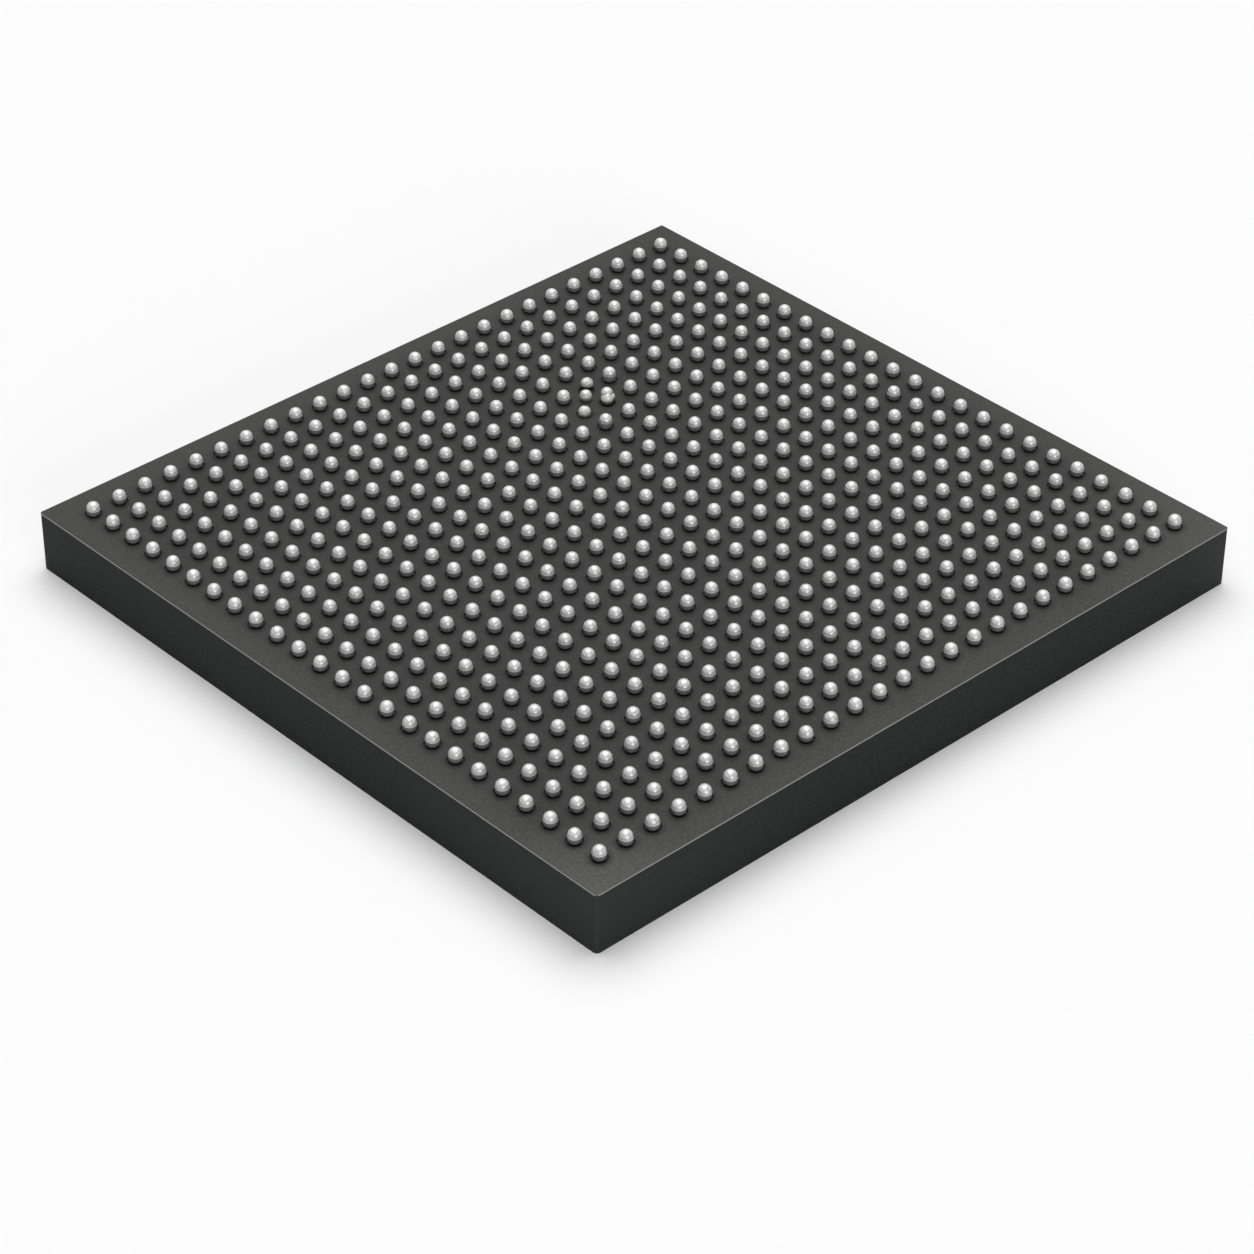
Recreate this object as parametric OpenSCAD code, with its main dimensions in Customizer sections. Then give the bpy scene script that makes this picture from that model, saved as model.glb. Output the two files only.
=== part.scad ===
// Ball grid array package, lying on its flat moulded face with the solder balls up.
// The origin is the centre of the moulded face. +Z points to the balls, +X runs along the
// lettered rows. Ball A1 is in the +X +Y corner, letters run towards -Y, columns towards -X.

/* [Ball grid] */
// Distance between the centres of neighbouring balls
pitch = 1.0; // [0.8:0.05:1.27]
// Balls in each lettered row
columns = 25; // [12:1:30]
// Lettered rows
rows = 24; // [12:1:30]

/* [Solder balls] */
// Widest diameter of a ball
ball_d = 0.43; // [0.38:0.01:0.5]
// Height of a ball's crown over the solder mask
ball_h = 0.42; // [0.4:0.01:0.55]
// Copper land that a ball stands on
land_d = 0.34; // [0.26:0.01:0.37]
// Opening of the solder mask around a land
mask_opening_d = 0.54; // [0.5:0.01:0.62]

/* [Package body] */
// Distance from the outer ball centres to the package's edge
edge_margin = 1.2; // [0.8:0.05:2]
// Thickness from the moulded face to the ball-side face
body_t = 2.05; // [1.8:0.05:2.6]
// Radius of the four upright corners
corner_r = 0.15; // [0.05:0.01:0.4]
// Bevel along the ball-side edges
edge_bevel = 0.03; // [0.01:0.005:0.035]
// Diameter of the pin 1 index on the moulded face
index_d = 1.2; // [0.6:0.1:1.6]
// Depth of the pin 1 index
index_depth = 0.05; // [0.02:0.01:0.1]
// Distance of the index's centre from both package edges
index_inset = 2.0; // [1.2:0.1:3]

/* [Substrate] */
// Thickness of the laminate
laminate_t = 0.48; // [0.3:0.01:0.6]
// Thickness of the solder mask on either side
mask_t = 0.04; // [0.035:0.005:0.06]
// Thickness of the copper lands, fingers, flag and ring
copper_t = 0.02; // [0.012:0.001:0.03]

/* [Die] */
// Die size along X
die_x = 10.0; // [9:0.1:12]
// Die size along Y
die_y = 9.4; // [9:0.1:12]
// Die thickness
die_t = 0.3; // [0.2:0.01:0.4]
// Thickness of the adhesive under the die
attach_t = 0.025; // [0.015:0.005:0.05]
// How far the adhesive squeezes out past the die
attach_rim = 0.12; // [0.05:0.01:0.25]
// How far the copper flag reaches past the die
flag_rim = 0.4; // [0.3:0.05:0.5]
// Gap between the flag and the power ring
ring_gap = 0.15; // [0.1:0.01:0.2]
// Width of the power ring
ring_w = 0.25; // [0.15:0.01:0.35]

/* [Wire bonds] */
// Wires on each of the four sides
wires_per_side = 24; // [8:1:26]
// Diameter of a gold wire
wire_d = 0.03; // [0.02:0.002:0.034]
// Half of the angle that a wire's loop turns through
loop_turn = 38; // [30:1:50]
// Distance between neighbouring wires on the die
pad_pitch = 0.3; // [0.12:0.01:0.32]
// Distance from the die's edge to the bonds on it
pad_inset = 0.12; // [0.08:0.01:0.2]
// Diameter of the bond at each end of a wire
bond_d = 0.07; // [0.05:0.005:0.09]
// Height of the bond at each end of a wire
bond_h = 0.035; // [0.03:0.005:0.05]
// Distance from the die's edge to the middle of the fingers
finger_reach = 1.7; // [1.5:0.05:2.4]
// Distance between neighbouring fingers
finger_pitch = 0.42; // [0.24:0.01:0.46]
// Length of a bond finger
finger_l = 0.5; // [0.3:0.05:0.8]
// Width of a bond finger
finger_w = 0.1; // [0.08:0.01:0.14]
// Laminate left bare of mask outside the fingers
window_rim = 0.3; // [0.15:0.05:0.6]

/* [Misshapen balls] */
// Width of the stray ball that stands between four lands
stray_d = 0.4; // [0.3:0.01:0.42]
// Height of the stray ball
stray_h = 0.34; // [0.32:0.01:0.4]
// Height of the ball that collapsed on its land
low_h = 0.28; // [0.24:0.01:0.38]
// Height of the ball that slid off its land onto the mask
slid_h = 0.27; // [0.24:0.01:0.38]
// How far it slid along each side of the package
slid_by = 0.23; // [0.2:0.01:0.3]
// Height of the two balls that stand proud
tall_h = 0.46; // [0.44:0.01:0.6]
// Width of either large lobe of the lumped ball
lobe_d = 0.4; // [0.36:0.01:0.42]
// Height of its lower lobe, which stands on the land
lobe_h = 0.32; // [0.28:0.01:0.4]
// Diameter of the bead on its side
bead_d = 0.25; // [0.2:0.01:0.28]

/* [Hidden] */
$fn = 48;

// Row letters leave out I, O, Q, S, X and Z.
LETTERS = "abcdefghjklmnprtuvwy";
function row_name(row) = row < len(LETTERS)
    ? str("ball_row_", LETTERS[row])
    : str("ball_row_a", LETTERS[row - len(LETTERS)]);

body_x = (columns - 1) * pitch + 2 * edge_margin;
body_y = (rows - 1) * pitch + 2 * edge_margin;

// Heights of the faces between the layers
land_face_z = body_t - mask_t;
die_face_z = land_face_z - laminate_t;
mold_t = die_face_z - mask_t;
ball_seat_z = land_face_z + copper_t;

// Heights on the die side, measured down from the laminate
die_seat = copper_t + attach_t;
die_top = die_seat + die_t;

window_x = die_x + 2 * finger_reach + finger_l + 2 * window_rim;
window_y = die_y + 2 * finger_reach + finger_l + 2 * window_rim;

// Cuts run this far past the faces that they open.
over = 0.01;

// Balls that differ from the others, as column and row
PROUD = [[7, 5], [9, 7]];
LOW = [9, 6];
SLID = [8, 5];
LUMP = [8, 6];
STRAY = [8.375, 5.375];

// The lumped ball's lobes and bead, from the middle of its land on the mask's face
LOWER_LOBE = [0.03, 0.04];
UPPER_LOBE = [0.11, 0.15];
BEAD = [0.18, 0.02, 0.16];

function ball_x(column) = ((columns - 1) / 2 - column) * pitch;
function ball_y(row) = ((rows - 1) / 2 - row) * pitch;
function listed(place, list) = len([for (p = list) if (p == place) p]) > 0;
function height_at(place) = place == LOW ? low_h : listed(place, PROUD) ? tall_h : ball_h;

// Package outline with rounded corners
module outline() {
    square([body_x - 2 * corner_r, body_y], center = true);
    square([body_x, body_y - 2 * corner_r], center = true);
    for (sx = [-1, 1], sy = [-1, 1])
        translate([sx * (body_x / 2 - corner_r), sy * (body_y / 2 - corner_r)])
            circle(r = corner_r);
}

// One circle at every place of the grid
module grid_circles(d) {
    for (column = [0:columns - 1], row = [0:rows - 1])
        translate([ball_x(column), ball_y(row)]) circle(d = d);
}

// Puts what stands on the laminate's inner side in place, with its height pointing down
module on_die_side() {
    translate([0, 0, die_face_z]) mirror([0, 0, 1]) children();
}

// Long prism along Y whose section is bevelled at both upper edges
module bevelled_prism(width, length) {
    low = land_face_z - over;
    rotate([90, 0, 0])
        linear_extrude(length + 2 * over, center = true)
            polygon([
                [-width / 2, low], [width / 2, low], [width / 2, body_t - edge_bevel],
                [width / 2 - edge_bevel, body_t], [-width / 2 + edge_bevel, body_t],
                [-width / 2, body_t - edge_bevel],
            ]);
}

module mold_cap() {
    color("#2b2c2c")
        difference() {
            union() {
                linear_extrude(mold_t) outline();
                on_die_side()
                    linear_extrude(mask_t + over) square([window_x, window_y], center = true);
            }
            translate([body_x / 2 - index_inset, body_y / 2 - index_inset, -over])
                cylinder(d = index_d, h = index_depth + over);
            die_flag();
            power_ring();
            bond_fingers();
            die_attach();
            die();
            bond_wires();
        }
}

module die_side_mask() {
    color("#20352c")
        on_die_side()
            linear_extrude(mask_t)
                difference() {
                    outline();
                    square([window_x, window_y], center = true);
                }
}

module laminate() {
    color("#3a3b38") translate([0, 0, die_face_z]) linear_extrude(laminate_t) outline();
}

module ball_side_mask() {
    color("#474847")
        intersection() {
            translate([0, 0, land_face_z])
                linear_extrude(mask_t)
                    difference() {
                        outline();
                        grid_circles(mask_opening_d);
                    }
            bevelled_prism(body_x, body_y);
            rotate([0, 0, 90]) bevelled_prism(body_y, body_x);
        }
}

module ball_lands() {
    color("#b87333") translate([0, 0, land_face_z]) linear_extrude(copper_t) grid_circles(land_d);
}

module die_flag() {
    color("#d8b45a")
        on_die_side()
            linear_extrude(copper_t)
                square([die_x + 2 * flag_rim, die_y + 2 * flag_rim], center = true);
}

module power_ring() {
    inner = 2 * (flag_rim + ring_gap);
    outer = inner + 2 * ring_w;
    color("#d8b45a")
        on_die_side()
            linear_extrude(copper_t)
                difference() {
                    square([die_x + outer, die_y + outer], center = true);
                    square([die_x + inner, die_y + inner], center = true);
                }
}

module die_attach() {
    color("#c9c6bd")
        on_die_side()
            translate([0, 0, copper_t])
                linear_extrude(attach_t)
                    square([die_x + 2 * attach_rim, die_y + 2 * attach_rim], center = true);
}

module die() {
    color("#6f7680")
        on_die_side()
            translate([0, 0, die_seat])
                linear_extrude(die_t) square([die_x, die_y], center = true);
}

// Horizontal run and turn of one wire, seen from its bond on the die
wire_out = pad_inset + finger_reach;
function wire_across(i) = (i - (wires_per_side - 1) / 2) * (finger_pitch - pad_pitch);
function wire_run(i) = norm([wire_out, wire_across(i)]);
function wire_heading(i) = atan2(wire_across(i), wire_out);

// Puts its children at each wire's bond on the die, with +X towards its finger
module at_wires() {
    for (side = [0:3], i = [0:wires_per_side - 1]) {
        half = (side % 2 == 0 ? die_x : die_y) / 2;
        along = (i - (wires_per_side - 1) / 2) * pad_pitch;
        rotate([0, 0, 90 * side])
            translate([half - pad_inset, along, 0])
                rotate([0, 0, wire_heading(i)]) {
                    $run = wire_run(i);
                    children();
                }
    }
}

module bond_fingers() {
    color("#d8b45a")
        on_die_side()
            linear_extrude(copper_t)
                at_wires()
                    translate([$run, 0]) square([finger_l, finger_w], center = true);
}

// Round wire that loops from the die's face down to a finger, with a flat bond at each end
module bond_wire(run) {
    drop = die_top - copper_t;
    slope = -atan2(drop, run);
    loop_r = norm([run, drop]) / 2 / sin(loop_turn);
    translate([run / 2, 0, (die_top + copper_t + bond_h) / 2])
        rotate([90, 0, 0])
            rotate([0, 0, 90 + slope])
                translate([-loop_r * cos(loop_turn), 0, 0])
                    rotate([0, 0, -loop_turn])
                        rotate_extrude(angle = 2 * loop_turn)
                            translate([loop_r, 0]) circle(d = wire_d);
    translate([0, 0, die_top]) cylinder(d = bond_d, h = bond_h);
    translate([run, 0, copper_t]) cylinder(d = bond_d, h = bond_h);
}

module bond_wires() {
    color("#e3bd55") on_die_side() at_wires() bond_wire($run);
}

// Solid of revolution: a round crown on a short upright waist that draws in to its seat
module solder_ball(d, h, seat = ball_seat_z, base_d = land_d) {
    r = d / 2;
    crown_z = body_t + h - r;
    waist_z = min(crown_z, seat + sqrt(r * r - base_d * base_d / 4));
    rotate_extrude()
        intersection() {
            union() {
                translate([0, crown_z]) circle(r = r);
                if (waist_z < crown_z) {
                    translate([0, waist_z]) circle(r = r);
                    translate([0, waist_z]) square([r, crown_z - waist_z]);
                }
            }
            translate([0, seat]) square([d, h + d]);
        }
}

// Two large lobes run together, the upper one over the mask, with a bead on their side
module lumped_ball() {
    translate(LOWER_LOBE) solder_ball(lobe_d, lobe_h);
    translate(UPPER_LOBE) solder_ball(lobe_d, tall_h, seat = body_t);
    translate(BEAD + [0, 0, body_t]) sphere(d = bead_d);
}

module ball_row(row) {
    color("#c8cac9")
        for (column = [0:columns - 1])
            translate([ball_x(column), ball_y(row), 0])
                if ([column, row] == LUMP)
                    lumped_ball();
                else if ([column, row] == SLID)
                    translate([slid_by, slid_by]) solder_ball(ball_d, slid_h, seat = body_t);
                else
                    solder_ball(ball_d, height_at([column, row]));
}

module stray_ball() {
    color("#c8cac9")
        translate([ball_x(STRAY[0]), ball_y(STRAY[1]), 0])
            solder_ball(stray_d, stray_h, seat = body_t);
}

mold_cap();
die_side_mask();
laminate();
ball_side_mask();
ball_lands();
die_flag();
power_ring();
bond_fingers();
die_attach();
die();
bond_wires();
stray_ball();
for (row = [0:rows - 1])
    ball_row(row);
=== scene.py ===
"""Finishes, solder balls and studio of a ball grid array package that lies on its moulded face."""

import math

import bmesh
import bpy
from mathutils import Matrix, Quaternion, Vector


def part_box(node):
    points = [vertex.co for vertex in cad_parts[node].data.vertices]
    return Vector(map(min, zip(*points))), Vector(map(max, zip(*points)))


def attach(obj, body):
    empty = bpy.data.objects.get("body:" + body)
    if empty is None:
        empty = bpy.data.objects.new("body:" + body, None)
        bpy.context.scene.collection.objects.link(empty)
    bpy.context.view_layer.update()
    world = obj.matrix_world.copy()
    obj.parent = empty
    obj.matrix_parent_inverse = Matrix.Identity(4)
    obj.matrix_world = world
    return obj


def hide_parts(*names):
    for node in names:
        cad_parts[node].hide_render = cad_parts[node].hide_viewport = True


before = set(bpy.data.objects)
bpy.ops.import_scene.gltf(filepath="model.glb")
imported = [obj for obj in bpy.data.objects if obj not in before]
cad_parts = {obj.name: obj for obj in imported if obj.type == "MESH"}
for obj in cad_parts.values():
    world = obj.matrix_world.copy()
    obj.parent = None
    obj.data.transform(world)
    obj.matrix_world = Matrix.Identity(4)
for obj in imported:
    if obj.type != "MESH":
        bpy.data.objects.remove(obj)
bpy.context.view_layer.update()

bl_info = {
    "name": "Ball Grid Array Package",
    "version": (1, 0, 0),
    "blender": (4, 5, 0),
    "location": "View3D > Sidebar > Package",
    "description": "Finishes, solder balls and studio for a ball grid array package",
    "category": "Object",
}

MM = 0.001

# Lettered rows, in the order in which the frame names them
LETTERS = "abcdefghjklmnprtuvwy"
ROWS = [name for name in (["ball_row_" + c for c in LETTERS] + ["ball_row_a" + c for c in LETTERS])
        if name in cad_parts]

# Faces and sizes that the frame gives
MASK_LOW, MASK_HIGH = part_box("ball_side_mask")
ROW_LOW, ROW_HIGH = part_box("ball_row_a")
NEXT_LOW, NEXT_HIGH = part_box("ball_row_b")
TOP = MASK_HIGH.z
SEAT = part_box("ball_lands")[1].z
LAMINATE_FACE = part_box("laminate")[1].z
PITCH = ROW_HIGH.y - NEXT_HIGH.y
BALL_WIDTH = ROW_HIGH.y - ROW_LOW.y
BALL_HEIGHT = ROW_HIGH.z - TOP
ROW_LENGTH = ROW_HIGH.x - ROW_LOW.x - BALL_WIDTH
COLUMNS = round(ROW_LENGTH / PITCH) + 1
COLUMN_LENGTH = PITCH * (len(ROWS) - 1)
HALF_X, HALF_Y = MASK_HIGH.x, MASK_HIGH.y

# The bright crown of a ball reaches this far under the middle of its round top. Below it the waist is
# painted dark, a painted reflection of the mask.
SHOULDER_DROP = 0.04 * MM
SHOULDER = TOP + BALL_HEIGHT - BALL_WIDTH / 2 - SHOULDER_DROP


# ---------------------------------------------------------------------------
# Settings
# ---------------------------------------------------------------------------


def linear(hex_colour):
    """An sRGB hex colour as linear RGBA."""
    channels = [int(hex_colour[i:i + 2], 16) / 255 for i in (1, 3, 5)]
    return [c / 12.92 if c <= 0.04045 else ((c + 0.055) / 1.055) ** 2.4 for c in channels] + [1.0]


def length(name, description, value):
    """A length property whose default is given in metres."""
    return bpy.props.FloatProperty(name=name, description=description, default=value,
                                   min=0.0, unit="LENGTH", precision=5)


def colour(name, description, hex_colour):
    """A colour property whose default is an sRGB hex value."""
    return bpy.props.FloatVectorProperty(name=name, description=description, subtype="COLOR",
                                         size=4, min=0.0, max=1.0, default=linear(hex_colour))


class BallSettings(bpy.types.PropertyGroup):
    """Sizes of the solder balls."""
    width: length("Width", "Widest diameter of a ball", BALL_WIDTH)
    height: length("Height", "Height of a crown over the solder mask", BALL_HEIGHT)
    base: length("Base", "Diameter of the land that a ball stands on", 0.34 * MM)
    low_height: length("Low height", "Height of the collapsed ball", 0.28 * MM)
    slid_height: length("Slid height", "Height of the ball that slid off its land", 0.27 * MM)
    slid_by: length("Slid by", "How far it slid along each side of the package", 0.23 * MM)
    tall_height: length("Tall height", "Height of the balls that stand proud", 0.46 * MM)
    stray_width: length("Stray width", "Width of the stray ball", 0.4 * MM)
    stray_height: length("Stray height", "Height of the stray ball", 0.34 * MM)
    lobe_width: length("Lobe width", "Width of either lobe of the lumped ball", 0.4 * MM)
    lobe_height: length("Lobe height", "Height of the lumped ball's lower lobe", 0.3392 * MM)
    bead_width: length("Bead width", "Width of the bead on the lumped ball's side", 0.25 * MM)
    segments: bpy.props.IntProperty(name="Segments", description="Faces round a ball",
                                    default=16, min=8, max=32)


class FinishSettings(bpy.types.PropertyGroup):
    """Colours of the finishes."""
    mask: colour("Solder mask", "Charcoal solder mask on the ball side", "#373736")
    flux: colour("Flux", "Thin specks of dried flux on the mask", "#6b5f50")
    # Painted highlight along the outer edge of the mask.
    edge_highlight: colour("Edge highlight", "Painted highlight along the outer edge of the mask", "#868684")
    compound: colour("Moulding compound", "Black epoxy moulding compound", "#171919")
    # The laminate's face in the mask openings, painted very dark as shade at each ball's foot.
    laminate: colour("Laminate", "Bare laminate in the mask openings", "#0b0b0b")
    solder: colour("Solder", "Bright crown of a solder ball", "#c6c7c6")
    # Painted highlight on the solder round a crown's widest line.
    painted_rim_highlight: colour("Solder swell", "Painted highlight on the solder round a crown's widest line", "#fafaf8")
    # Painted reflection of the dark mask on the solder under the widest line.
    waist: colour("Solder waist", "Solder under the widest line, painted dark as a reflection", "#858686")
    crazed: colour("Crazed solder", "Skin of the balls that froze badly", "#cdcdcb")
    gold: colour("Gold", "Gold wires and plating", "#e0b45a")
    copper: colour("Copper", "Tarnished copper of the lands", "#1c1715")
    silicon: colour("Silicon", "Ground back of the die", "#6b7078")
    adhesive: colour("Adhesive", "Silver-filled adhesive under the die", "#b9b7b0")
    sweep: colour("Sweep", "Matt white studio sweep", "#f8f8f8")


# ---------------------------------------------------------------------------
# Patterns that the finishes share
# ---------------------------------------------------------------------------


def add(tree, kind, inputs=None, **settings):
    """Adds a node with its settings. An input, named or numbered, gets a value or a link from
    a socket or from a node's first output in use."""
    node = tree.nodes.new(kind)
    for name, value in settings.items():
        setattr(node, name, value)
    for name, value in (inputs or {}).items():
        live = [socket for socket in node.inputs if socket.enabled]
        socket = live[name] if isinstance(name, int) else next(s for s in live if s.name == name)
        if isinstance(value, bpy.types.Node):
            value = next(s for s in value.outputs if s.enabled)
        if isinstance(value, bpy.types.NodeSocket):
            tree.links.new(value, socket)
        else:
            socket.default_value = value
    return node


def new_finish(name):
    """An empty material, its tree, and where a point lies on the package in metres."""
    material = bpy.data.materials.new(name)
    material.use_nodes = True
    tree = material.node_tree
    tree.nodes.clear()
    return material, tree, add(tree, "ShaderNodeTexCoord").outputs["Object"]


def shade(base, factor):
    """A linear colour made lighter or darker."""
    return [min(1.0, c * factor) for c in base[:3]] + [1.0]


def grain(tree, place, size, detail=2.0):
    """Irregular grain of about the given size, from 0 to 1."""
    return add(tree, "ShaderNodeTexNoise", {"Vector": place, "Scale": 1.0 / size, "Detail": detail})


def lay_over(tree, tone, over, measure, start, end, low=0.0, high=1.0):
    """Lays one tone over another. Its share runs from low, where the measure is at its start,
    to high at its end."""
    share = add(tree, "ShaderNodeMapRange", {"Value": measure, "From Min": start, "From Max": end,
                                             "To Min": low, "To Max": high})
    return add(tree, "ShaderNodeMix", {"Factor": share, "A": tone, "B": over}, data_type="RGBA")


def grit(tree, place, base, size, depth):
    """A tone with fine grit, as far lighter and darker as the given depth."""
    return lay_over(tree, shade(base, 1.0 - depth), shade(base, 1.0 + depth),
                    grain(tree, place, size), 0.3, 0.7)


def past_rectangle(tree, place, half_x, half_y):
    """How far a point lies outside a centred rectangle. It is negative inside."""
    folded = add(tree, "ShaderNodeVectorMath", {0: place}, operation="ABSOLUTE")
    past = add(tree, "ShaderNodeVectorMath", {0: folded, 1: (half_x, half_y, 0)}, operation="SUBTRACT")
    axes = add(tree, "ShaderNodeSeparateXYZ", {0: past})
    return add(tree, "ShaderNodeMath", {0: axes.outputs["X"], 1: axes.outputs["Y"]}, operation="MAXIMUM")


def from_upright(tree, place, x, y):
    """Distance from an upright line of the package."""
    flat = add(tree, "ShaderNodeVectorMath", {0: place, 1: (1, 1, 0)}, operation="MULTIPLY")
    return add(tree, "ShaderNodeVectorMath", {0: flat, 1: (x, y, 0)}, operation="DISTANCE")


def from_ball(tree, place):
    """Distance from the middle of the nearest place in the ball grid, seen from above."""
    half = PITCH / 2
    first = (ROW_LENGTH / 2, COLUMN_LENGTH / 2, 0)
    flat = add(tree, "ShaderNodeVectorMath", {0: place, 1: (1, 1, 0), 2: first}, operation="MULTIPLY_ADD")
    offset = add(tree, "ShaderNodeVectorMath", {0: flat, 1: (half, half, half), 2: (-half, -half, -half)},
                 operation="WRAP")
    away = add(tree, "ShaderNodeVectorMath", {0: offset}, operation="LENGTH")
    past = past_rectangle(tree, place, ROW_LENGTH / 2, COLUMN_LENGTH / 2)
    return add(tree, "ShaderNodeMath", {0: away, 1: past}, operation="MAXIMUM")


# ---------------------------------------------------------------------------
# Finishes
# ---------------------------------------------------------------------------

# Moulded epoxy and cured mask are both satin, and glare little for an epoxy.
SATIN = {"Roughness": 0.58, "IOR": 1.5}


def sawn_side_with_painted_light(tree, place, colours):
    """Tone of the sawn sides, the same through every layer: gritty, with a painted sheen towards the
    front uprights, a painted highlight in a thin line down each of the four, and painted shade
    towards the far side."""
    tone = grit(tree, place, colours.compound, 0.1 * MM, 0.75)
    # Painted shade: darker towards the far side.
    across = add(tree, "ShaderNodeSeparateXYZ", {0: place}).outputs["Y"]
    tone = lay_over(tree, tone, shade(colours.compound, 0.3), across, -HALF_Y, HALF_Y, 0.0, 0.4)
    # Painted sheen: lighter towards the two front uprights.
    for x, reach in ((-HALF_X, 9 * MM), (HALF_X, 2 * MM)):
        tone = lay_over(tree, tone, shade(colours.compound, 2.3), from_upright(tree, place, x, -HALF_Y),
                        0.0, reach, 0.8, 0.0)
    # Painted highlight: a thin light line down each of the four uprights.
    folded = add(tree, "ShaderNodeVectorMath", {0: place}, operation="ABSOLUTE")
    out = add(tree, "ShaderNodeVectorMath", {0: folded, 1: (1, 1, 0)}, operation="DOT_PRODUCT")
    tip = HALF_X + HALF_Y
    return lay_over(tree, tone, shade(colours.compound, 3.2), out, tip - 0.14 * MM, tip - 0.09 * MM)


def solder_mask(colours):
    """Sprayed and cured solder mask. Satin with a fine grit, faintly clouded and specked with flux.
    Painted shade darkens it between the balls, round their feet and towards the far corner; a
    painted sheen lightens it at two corners, and a painted highlight runs in a thin bright line along its
    outer edge."""
    material, tree, place = new_finish("charcoal solder mask")
    mask = colours.mask
    # Painted shade: the mask is darker inside the ball field, between the balls.
    tone = lay_over(tree, grit(tree, place, shade(mask, 0.54), 0.09 * MM, 0.35),
                    grit(tree, place, mask, 0.09 * MM, 0.35),
                    past_rectangle(tree, place, ROW_LENGTH / 2, COLUMN_LENGTH / 2), -0.2 * MM, 0.9 * MM)
    tone = lay_over(tree, tone, shade(mask, 1.25), grain(tree, place, 3.0 * MM, 3.0), 0.35, 0.65, 0.0, 0.25)
    # Painted shade: the mask is darker towards the far corner.
    inward = add(tree, "ShaderNodeVectorMath", {0: place, 1: (1, 1, 0)}, operation="DOT_PRODUCT")
    tone = lay_over(tree, tone, shade(mask, 0.35), inward, -HALF_X - HALF_Y, HALF_X + HALF_Y, 0.0, 0.42)
    tone = lay_over(tree, tone, colours.flux, grain(tree, place, 0.3 * MM, 3.0), 0.62, 0.7, 0.0, 0.1)
    # Painted sheen: the mask is lighter near the two corners on its -Y side.
    painted_sheen = grit(tree, place, shade(mask, 2.0), 0.09 * MM, 0.2)
    for x, reach, share in ((-HALF_X, 3.5 * MM, 1.0), (HALF_X, 6.0 * MM, 0.5)):
        tone = lay_over(tree, tone, painted_sheen, from_upright(tree, place, x, -HALF_Y), 0.0, reach, share, 0.0)
    # Painted shade round the foot of each ball.
    tone = lay_over(tree, tone, shade(mask, 0.25), from_ball(tree, place), 0.27 * MM, 0.47 * MM, 0.75, 0.0)
    # Painted highlight: a thin bright line along the mask's outer edge.
    tone = lay_over(tree, tone, colours.edge_highlight, past_rectangle(tree, place, HALF_X, HALF_Y),
                    -0.032 * MM, -0.016 * MM)
    height = add(tree, "ShaderNodeSeparateXYZ", {0: place}).outputs["Z"]
    tone = lay_over(tree, sawn_side_with_painted_light(tree, place, colours), tone, height, TOP - 0.034 * MM, TOP - 0.028 * MM)
    peel = add(tree, "ShaderNodeBump", {"Height": grain(tree, place, 0.09 * MM), "Strength": 0.12,
                                        "Distance": 0.01 * MM})
    shader = add(tree, "ShaderNodeBsdfPrincipled", {"Base Color": tone, "Normal": peel,
                                                    "Specular IOR Level": 0.18, **SATIN})
    add(tree, "ShaderNodeOutputMaterial", {"Surface": shader})
    return material


def moulding_compound(colours):
    """Black epoxy filled with silica, moulded, then sawn at the sides: matt with a very fine grit, under
    the sawn sides' painted sheen, highlight and shade.
    """
    material, tree, place = new_finish("black epoxy moulding compound")
    rough = add(tree, "ShaderNodeBump", {"Height": grain(tree, place, 0.07 * MM, 3.0), "Strength": 0.2,
                                         "Distance": 0.01 * MM})
    shader = add(tree, "ShaderNodeBsdfPrincipled", {"Base Color": sawn_side_with_painted_light(tree, place, colours),
                                                    "Normal": rough, "Specular IOR Level": 0.14, **SATIN})
    add(tree, "ShaderNodeOutputMaterial", {"Surface": shader})
    return material


def laminate(colours):
    """Dark glass-epoxy. Its sawn edge is as matt as the compound and takes the sides' painted light,
    and its face in the mask's openings is painted darker, as painted shade, so that each ball stands in a
    dark ring."""
    material, tree, place = new_finish("dark glass epoxy laminate")
    height = add(tree, "ShaderNodeSeparateXYZ", {0: place}).outputs["Z"]
    # Painted shade: the face in the mask openings takes the very dark laminate tone.
    tone = lay_over(tree, sawn_side_with_painted_light(tree, place, colours), colours.laminate, height,
                    LAMINATE_FACE - 0.004 * MM, LAMINATE_FACE - 0.002 * MM)
    shader = add(tree, "ShaderNodeBsdfPrincipled", {"Base Color": tone, "Specular IOR Level": 0.14,
                                                    **SATIN})
    add(tree, "ShaderNodeOutputMaterial", {"Surface": shader})
    return material


def reflowed_solder(colours):
    """Crown of a ball: tin-silver-copper solder frozen from the melt. It is satin and faintly dimpled.
    Round its widest line a painted highlight makes its skin whiter, and it is less of a mirror there."""
    material, tree, place = new_finish("bright reflowed solder")
    height = add(tree, "ShaderNodeSeparateXYZ", {0: place}).outputs["Z"]
    low, high = SHOULDER + 0.02 * MM, SHOULDER + 0.1 * MM
    skin = lay_over(tree, shade(colours.solder, 0.85), shade(colours.solder, 1.1),
                    grain(tree, place, 0.1 * MM), 0.3, 0.7)
    # Painted highlight: whiter skin round the widest line.
    tone = lay_over(tree, skin, colours.painted_rim_highlight, height, low, high, 1.0, 0.0)
    metal = add(tree, "ShaderNodeMapRange", {"Value": height, "From Min": low, "From Max": high,
                                             "To Min": 0.05, "To Max": 0.45})
    dimples = add(tree, "ShaderNodeBump", {"Height": grain(tree, place, 0.1 * MM), "Strength": 0.2,
                                           "Distance": 0.02 * MM})
    shader = add(tree, "ShaderNodeBsdfPrincipled", {"Base Color": tone, "Metallic": metal,
                                                    "Normal": dimples, "Roughness": 0.33})
    add(tree, "ShaderNodeOutputMaterial", {"Surface": shader})
    return material


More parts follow.
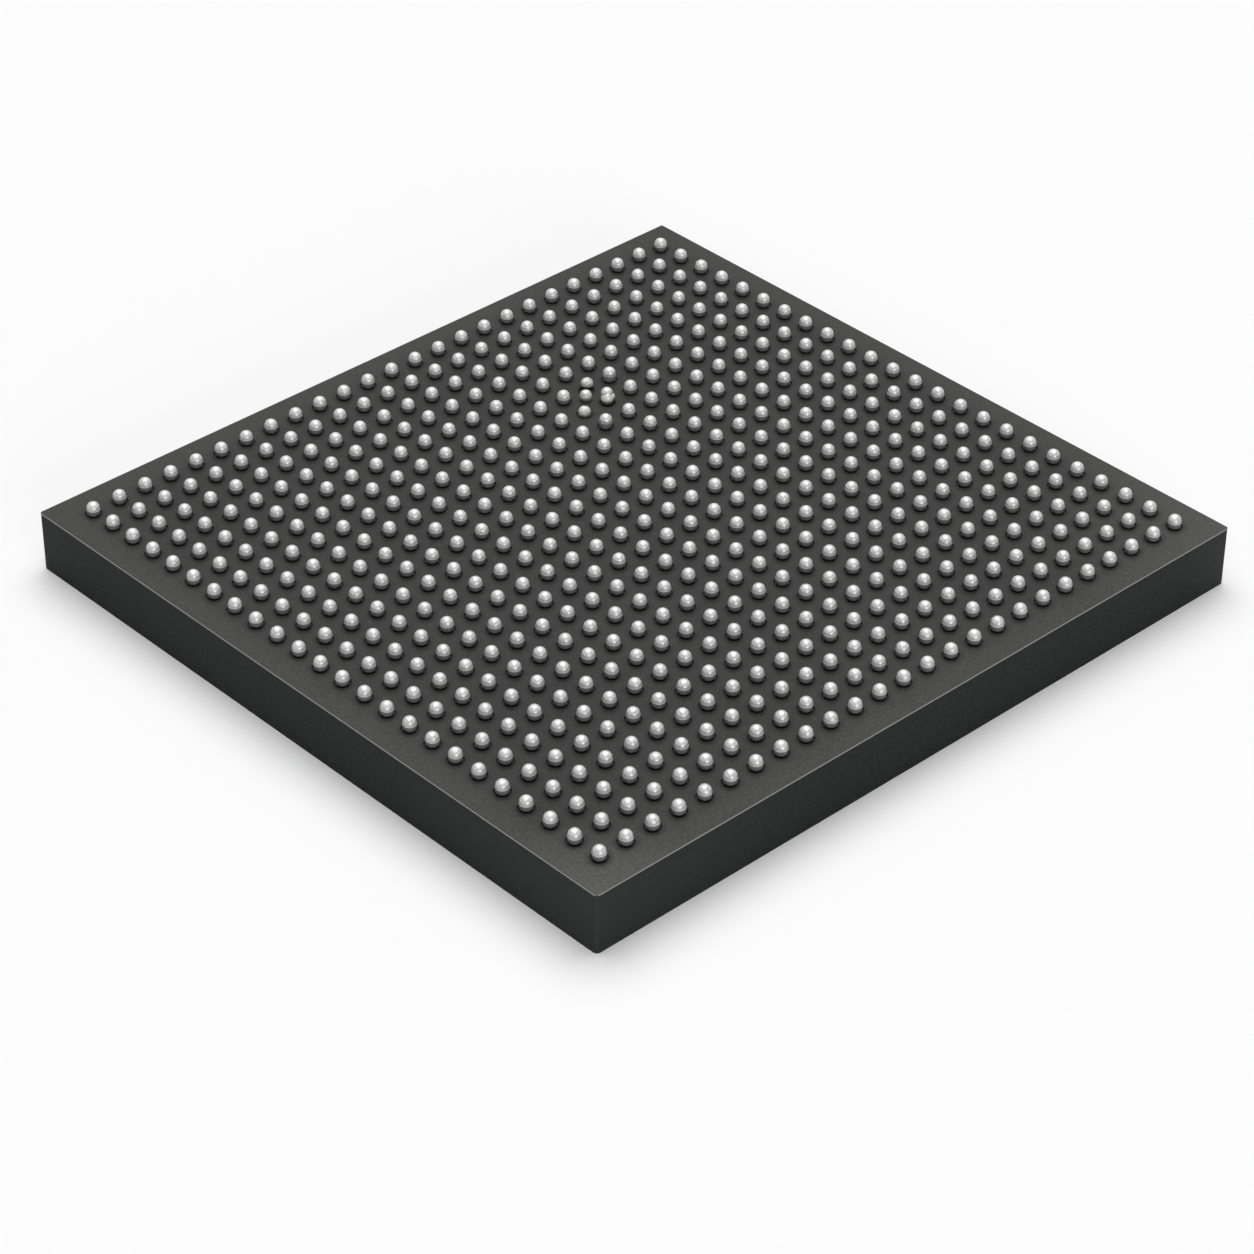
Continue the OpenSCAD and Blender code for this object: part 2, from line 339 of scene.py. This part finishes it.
def crazed_solder(colours):
    """Solder that froze badly: dull, uneven and finely wrinkled."""
    material, tree, place = new_finish("crazed solder skin")
    wrinkles = add(tree, "ShaderNodeBump", {"Height": grain(tree, place, 0.08 * MM, 3.0), "Strength": 0.8,
                                            "Distance": 0.03 * MM})
    tone = grit(tree, place, colours.crazed, 0.09 * MM, 0.35)
    shader = add(tree, "ShaderNodeBsdfPrincipled", {"Base Color": tone, "Metallic": 0.2,
                                                    "Normal": wrinkles, "Roughness": 0.3})
    add(tree, "ShaderNodeOutputMaterial", {"Surface": shader})
    return material


def painted_dark_waist(colours):
    """Under its widest line the solder is painted dull grey, a painted reflection of the dark mask."""
    material, tree, place = new_finish("solder waist painted dark")
    tone = grit(tree, place, colours.waist, 0.07 * MM, 0.15)
    shader = add(tree, "ShaderNodeBsdfPrincipled", {"Base Color": tone, "Roughness": 0.6})
    add(tree, "ShaderNodeOutputMaterial", {"Surface": shader})
    return material


def plain_metal(name, base, roughness, size):
    """A bare metal surface, with fine grain of the given size in its tone."""
    material, tree, place = new_finish(name)
    shader = add(tree, "ShaderNodeBsdfPrincipled", {"Base Color": grit(tree, place, base, size, 0.15),
                                                    "Metallic": 1.0, "Roughness": roughness})
    add(tree, "ShaderNodeOutputMaterial", {"Surface": shader})
    return material


class PACKAGE_OT_finishes(bpy.types.Operator):
    """Makes the finishes, and gives the body and what is inside it theirs"""
    bl_idname = "package.finishes"
    bl_label = "Finishes"

    def execute(self, context):
        colours = context.scene.package_finish
        for ball_finish in (reflowed_solder, painted_dark_waist, crazed_solder):
            ball_finish(colours)
        mask = solder_mask(colours)
        gold = plain_metal("soft gold plate", colours.gold, 0.3, 0.05 * MM)
        finishes = {
            "mold_cap": moulding_compound(colours),
            "die_side_mask": mask,
            "laminate": laminate(colours),
            "ball_side_mask": mask,
            "ball_lands": plain_metal("tarnished copper", colours.copper, 0.6, 0.05 * MM),
            "die_flag": gold,
            "power_ring": gold,
            "bond_fingers": gold,
            "die_attach": plain_metal("silver filled adhesive", colours.adhesive, 0.55, 0.05 * MM),
            "die": plain_metal("ground silicon", colours.silicon, 0.25, 0.2 * MM),
            "bond_wires": gold,
        }
        for node, material in finishes.items():
            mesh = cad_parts[node].data
            mesh.materials.clear()
            mesh.materials.append(material)
        return {"FINISHED"}


# ---------------------------------------------------------------------------
# Solder balls
# ---------------------------------------------------------------------------

BALL_FINISHES = ("bright reflowed solder", "solder waist painted dark", "crazed solder skin")
BRIGHT, WAIST, CRAZED = range(len(BALL_FINISHES))

# Misshapen balls as row and column
PROUD = {("ball_row_f", 7), ("ball_row_h", 9)}
COLLAPSED = ("ball_row_g", 9)
SLID = ("ball_row_f", 8)
LUMPED = ("ball_row_g", 8)

# The lumped ball's lobes and bead, from the middle of its land on the mask's face
LOWER_LOBE = (0.04 * MM, 0.06 * MM)
UPPER_LOBE = (0.1 * MM, 0.14 * MM)
BEAD = Vector((0.18 * MM, 0.02 * MM, 0.16 * MM))

# Angles above the horizontal at which the round top's section has its corners
TOP_ANGLES = [math.radians(angle) for angle in (90, 67.5, 45, 22.5, 0)]


def ball_outline(width, height, seat, base):
    """Half of a ball's section as radius and height, from its crown to the middle of its seat,
    and the height at which the crown's finish ends."""
    r = width / 2
    middle = TOP + height - r
    waist = min(middle, seat + math.sqrt(r * r - base * base / 4))
    shoulder = max(middle - SHOULDER_DROP, waist)
    outline = [(r * math.cos(a), middle + r * math.sin(a)) for a in TOP_ANGLES]
    outline += [(r, z) for z in sorted({shoulder, waist}, reverse=True) if z < middle]
    turn = math.asin((waist - seat) / r)
    outline += [(r * math.cos(turn * share), waist - r * math.sin(turn * share)) for share in (0.5, 1.0)]
    outline.append((0.0, seat))
    return outline, shoulder


def add_ball(bm, balls, x, y, height, width=None, seat=SEAT, crown=BRIGHT):
    """Spins one ball into the mesh, with the crown's finish above its shoulder and the waist's below,
    painted dark as a reflection of the mask.
    """
    outline, shoulder = ball_outline(width or balls.width, height, seat, balls.base)
    earlier = len(bm.faces)
    corners = [bm.verts.new((x + r, y, z)) for r, z in outline]
    edges = [bm.edges.new(pair) for pair in zip(corners, corners[1:])]
    bmesh.ops.spin(bm, geom=corners + edges, cent=(x, y, 0.0), axis=(0, 0, 1),
                   angle=math.tau, steps=balls.segments, use_merge=True)
    bm.faces.ensure_lookup_table()
    for face in bm.faces[earlier:]:
        face.smooth = True
        # Faces under the shoulder take the waist's painted dark reflection.
        face.material_index = crown if face.calc_center_median().z > shoulder else WAIST


def add_lumped_ball(bm, balls, x, y):
    """Two large lobes run together, the upper one over the mask, with a bead on their side."""
    lobes = ((LOWER_LOBE, balls.lobe_height, SEAT), (UPPER_LOBE, balls.tall_height, TOP))
    for (dx, dy), height, seat in lobes:
        add_ball(bm, balls, x + dx, y + dy, height, width=balls.lobe_width, seat=seat)
    bead = bmesh.ops.create_uvsphere(bm, u_segments=14, v_segments=8, radius=balls.bead_width / 2,
                                     matrix=Matrix.Translation(Vector((x, y, TOP)) + BEAD))
    for face in {face for corner in bead["verts"] for face in corner.link_faces}:
        face.smooth = True


def finish_balls(bm, name, node):
    """Closes the mesh and puts it on the package in place of the CAD node."""
    bmesh.ops.remove_doubles(bm, verts=bm.verts, dist=0.0005 * MM)
    bmesh.ops.recalc_face_normals(bm, faces=bm.faces)
    mesh = bpy.data.meshes.new(name)
    bm.to_mesh(mesh)
    bm.free()
    for finish in BALL_FINISHES:
        mesh.materials.append(bpy.data.materials[finish])
    piece = bpy.data.objects.new(name, mesh)
    bpy.context.scene.collection.objects.link(piece)
    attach(piece, "root")
    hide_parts(node)


class PACKAGE_OT_balls(bpy.types.Operator):
    """Makes every lettered row of solder balls and the stray ball"""
    bl_idname = "package.balls"
    bl_label = "Solder balls"

    def execute(self, context):
        balls = context.scene.package_balls
        for number, row in enumerate(ROWS):
            y = COLUMN_LENGTH / 2 - number * PITCH
            bm = bmesh.new()
            for column in range(COLUMNS):
                x = ROW_LENGTH / 2 - column * PITCH
                place = (row, column)
                if place == LUMPED:
                    add_lumped_ball(bm, balls, x, y)
                elif place == SLID:
                    add_ball(bm, balls, x + balls.slid_by, y + balls.slid_by, balls.slid_height,
                             seat=TOP, crown=CRAZED)
                elif place == COLLAPSED:
                    add_ball(bm, balls, x, y, balls.low_height, crown=CRAZED)
                else:
                    add_ball(bm, balls, x, y, balls.tall_height if place in PROUD else balls.height)
            finish_balls(bm, row.replace("ball_row_", "solder_row_"), row)
        low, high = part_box("stray_ball")
        bm = bmesh.new()
        add_ball(bm, balls, (low.x + high.x) / 2, (low.y + high.y) / 2, balls.stray_height,
                 width=balls.stray_width, seat=TOP, crown=CRAZED)
        finish_balls(bm, "stray_solder_ball", "stray_ball")
        return {"FINISHED"}


# ---------------------------------------------------------------------------
# Studio
# ---------------------------------------------------------------------------

# Where the camera stands from the package in degrees, its lean, and where it aims
AZIMUTH, ELEVATION, ROLL = -43.107, 35.389, 0.298
DISTANCE = 118.13 * MM
AIM = Vector((-4.02 * MM, -4.04 * MM, TOP))
LENS = 114.57
SENSOR = 36.0

# Each lamp's strength, the angle it fills, its azimuth and its elevation, in degrees
LAMPS = {
    "overhead softbox": (2.4, 64, AZIMUTH + 180, 71),
    "overhead spot": (0.4, 44, AZIMUTH, 68),
    "front fill": (1.1, 40, AZIMUTH + 23, 5),
}

# The room's own light on matt surfaces. What mirrors it or looks past the floor sees it white.
ROOM_LIGHT = 0.16
FLOOR_SIZE = 3.0
FLOOR_GAP = 0.002 * MM


def towards(azimuth, elevation):
    """Unit vector from the package in the given direction. Azimuth 0 is the -Y side."""
    a, e = math.radians(azimuth), math.radians(elevation)
    return Vector((math.sin(a) * math.cos(e), -math.cos(a) * math.cos(e), math.sin(e)))


def add_floor(scene, colours):
    """Matt white sweep under the package."""
    bm = bmesh.new()
    bmesh.ops.create_grid(bm, x_segments=1, y_segments=1, size=FLOOR_SIZE,
                          matrix=Matrix.Translation((0, 0, -FLOOR_GAP)))
    mesh = bpy.data.meshes.new("sweep")
    bm.to_mesh(mesh)
    bm.free()
    material, tree, place = new_finish("matt white sweep")
    shader = add(tree, "ShaderNodeBsdfDiffuse", {"Color": colours.sweep})
    add(tree, "ShaderNodeOutputMaterial", {"Surface": shader})
    mesh.materials.append(material)
    floor = bpy.data.objects.new("sweep", mesh)
    scene.collection.objects.link(floor)


def add_room(scene):
    """White surroundings that light matt surfaces softly."""
    scene.world = bpy.data.worlds.new("studio")
    scene.world.use_nodes = True
    tree = scene.world.node_tree
    tree.nodes.clear()
    path = add(tree, "ShaderNodeLightPath")
    seen = path.outputs["Is Camera Ray"]
    for ray in ("Is Glossy Ray", "Is Transmission Ray"):
        seen = add(tree, "ShaderNodeMath", {0: seen, 1: path.outputs[ray]}, operation="MAXIMUM")
    strength = add(tree, "ShaderNodeMapRange", {"Value": seen, "To Min": ROOM_LIGHT, "To Max": 1.0})
    white = add(tree, "ShaderNodeBackground", {"Color": (1, 1, 1, 1), "Strength": strength})
    add(tree, "ShaderNodeOutputWorld", {"Surface": white})


def add_lamp(scene, name, strength, angle, azimuth, elevation):
    """A broad soft lamp, far away in the given direction."""
    lamp = bpy.data.lights.new(name, "SUN")
    lamp.energy = strength
    lamp.angle = math.radians(angle)
    made = bpy.data.objects.new(name, lamp)
    made.rotation_mode = "QUATERNION"
    made.rotation_quaternion = towards(azimuth, elevation).to_track_quat("Z", "Y")
    scene.collection.objects.link(made)


def add_camera(scene):
    """Long lens that looks down on one corner."""
    lens = bpy.data.cameras.new("camera")
    lens.lens = LENS
    lens.sensor_width = SENSOR
    lens.clip_start = 1 * MM
    lens.clip_end = 10.0
    camera = bpy.data.objects.new("camera", lens)
    back = towards(AZIMUTH, ELEVATION)
    lean = Quaternion((0, 0, 1), math.radians(ROLL))
    camera.location = AIM + back * DISTANCE
    camera.rotation_mode = "QUATERNION"
    camera.rotation_quaternion = (-back).to_track_quat("-Z", "Y") @ lean
    scene.collection.objects.link(camera)
    scene.camera = camera


class PACKAGE_OT_studio(bpy.types.Operator):
    """Makes the floor, the light and the camera"""
    bl_idname = "package.studio"
    bl_label = "Studio"

    def execute(self, context):
        scene = context.scene
        add_floor(scene, scene.package_finish)
        add_room(scene)
        for name, lamp in LAMPS.items():
            add_lamp(scene, name, *lamp)
        add_camera(scene)
        scene.view_settings.view_transform = "Standard"
        return {"FINISHED"}


# ---------------------------------------------------------------------------
# Add-on
# ---------------------------------------------------------------------------


class PACKAGE_PT_panel(bpy.types.Panel):
    """Lists the package's settings and steps"""
    bl_label = "Package"
    bl_idname = "PACKAGE_PT_panel"
    bl_space_type = "VIEW_3D"
    bl_region_type = "UI"
    bl_category = "Package"

    def draw(self, context):
        layout = self.layout
        for settings in (context.scene.package_balls, context.scene.package_finish):
            for name in settings.__annotations__:
                layout.prop(settings, name)
        for operator in OPERATORS:
            layout.operator(operator.bl_idname)


OPERATORS = (PACKAGE_OT_finishes, PACKAGE_OT_balls, PACKAGE_OT_studio)
CLASSES = (BallSettings, FinishSettings, *OPERATORS, PACKAGE_PT_panel)


def register():
    for cls in CLASSES:
        bpy.utils.register_class(cls)
    bpy.types.Scene.package_balls = bpy.props.PointerProperty(type=BallSettings)
    bpy.types.Scene.package_finish = bpy.props.PointerProperty(type=FinishSettings)


def unregister():
    del bpy.types.Scene.package_finish
    del bpy.types.Scene.package_balls
    for cls in reversed(CLASSES):
        bpy.utils.unregister_class(cls)


def main():
    register()
    bpy.ops.package.finishes()
    bpy.ops.package.balls()
    bpy.ops.package.studio()


if __name__ == "__main__":
    main()
